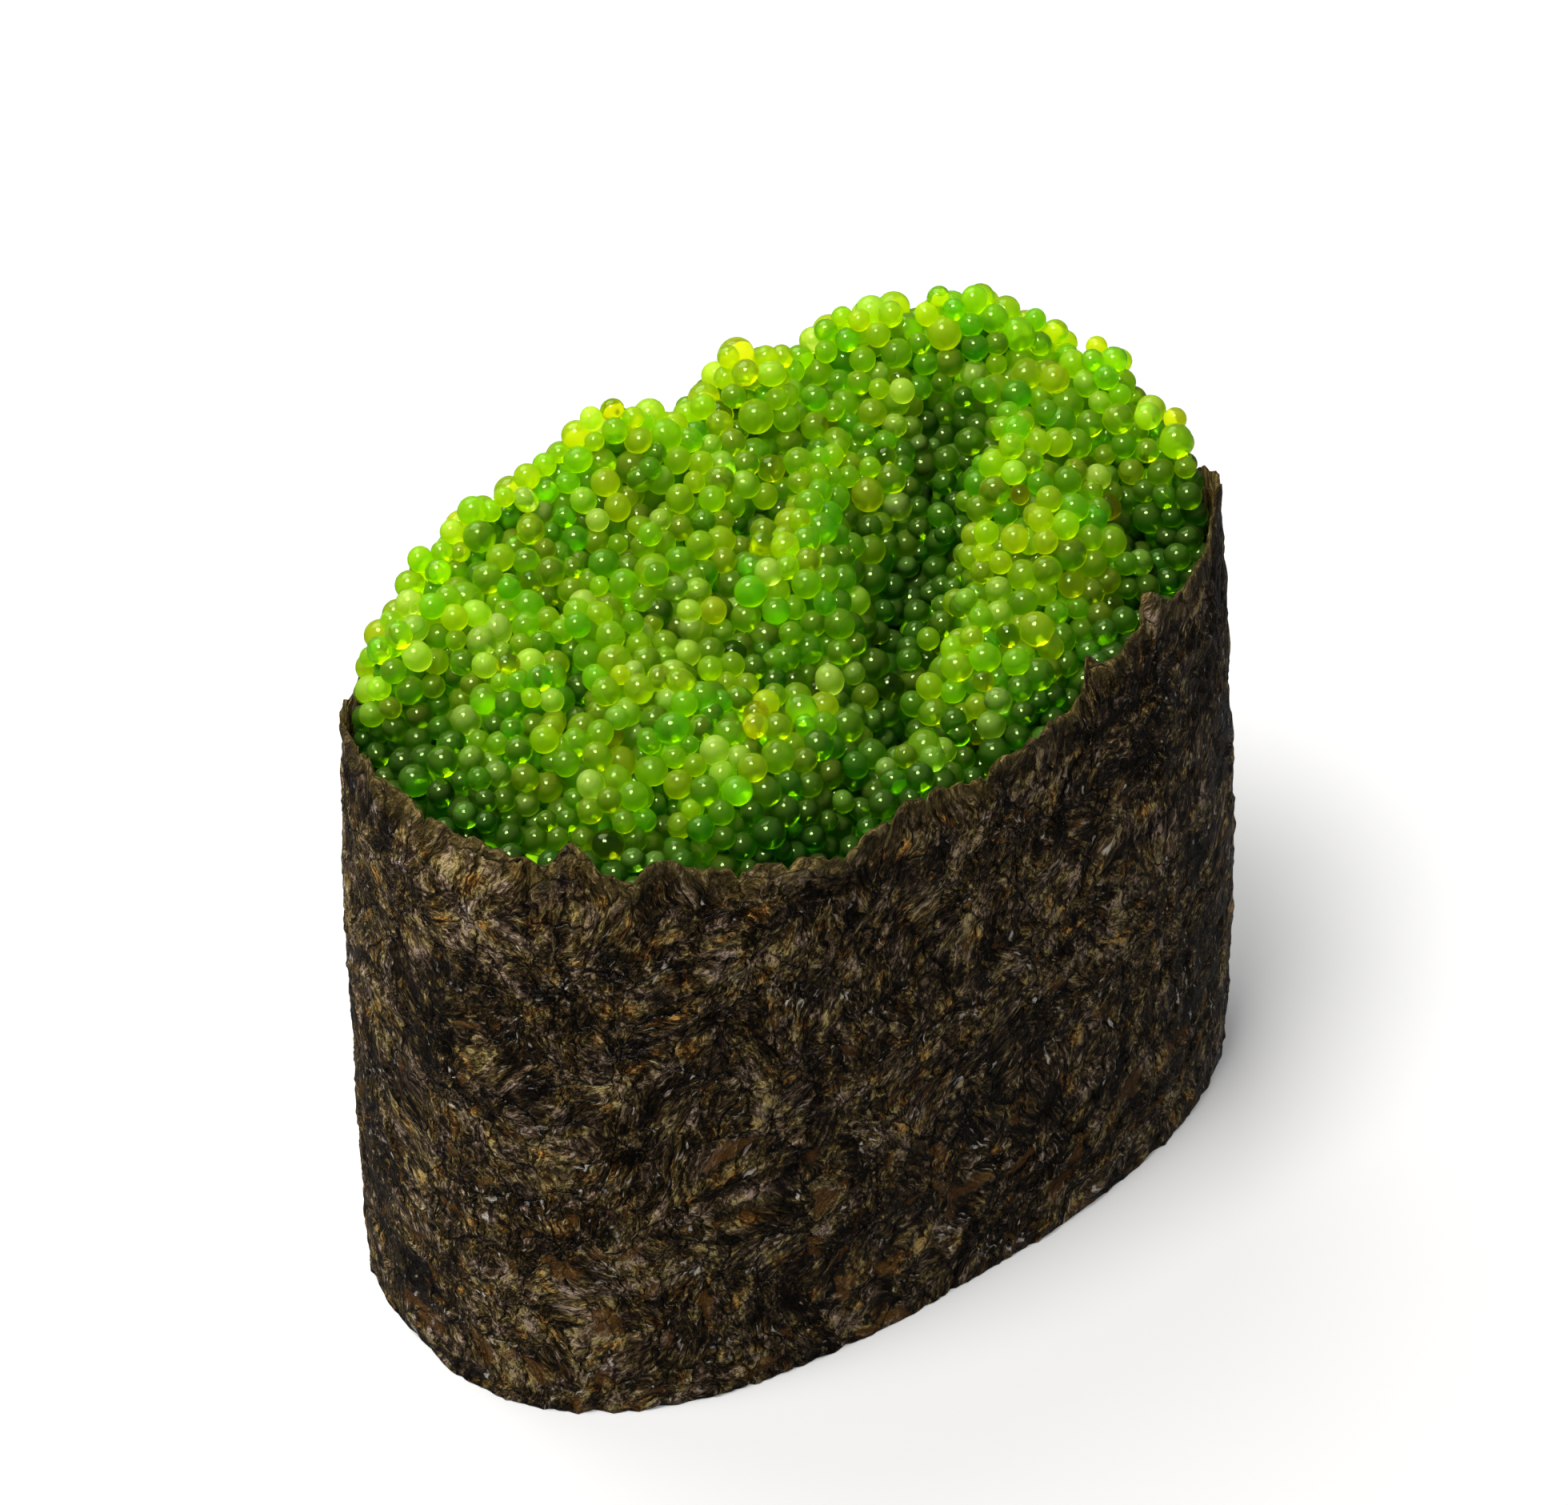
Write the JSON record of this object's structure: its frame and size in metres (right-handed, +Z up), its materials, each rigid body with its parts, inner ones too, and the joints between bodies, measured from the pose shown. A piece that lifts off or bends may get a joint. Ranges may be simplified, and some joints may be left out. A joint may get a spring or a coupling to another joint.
{
  "type": "gunkan sushi",
  "caption": "Gunkan sushi: an oval band of dark pressed seaweed round a block of rice, heaped above its torn rim with small green roe.",
  "frame": {"origin": "centre of the flat underside, on the surface the sushi stands on", "axes": "+X along the oval, +Z up, -Y towards the long side with the sagging rim; the band's ends overlap at +Y"},
  "size_m": [0.0486, 0.0285, 0.0446],
  "materials": {
    "nori": "pressed seaweed sheet, fibrous, dark olive brown with a dull sheen",
    "roe": "wet translucent green fish eggs",
    "rice": "cooked short-grain rice, off-white, slightly glossy"
  },
  "bodies": {
    "root": {"nori": "nori", "roe": "roe", "rice": "rice"}
  },
  "joints": []
}
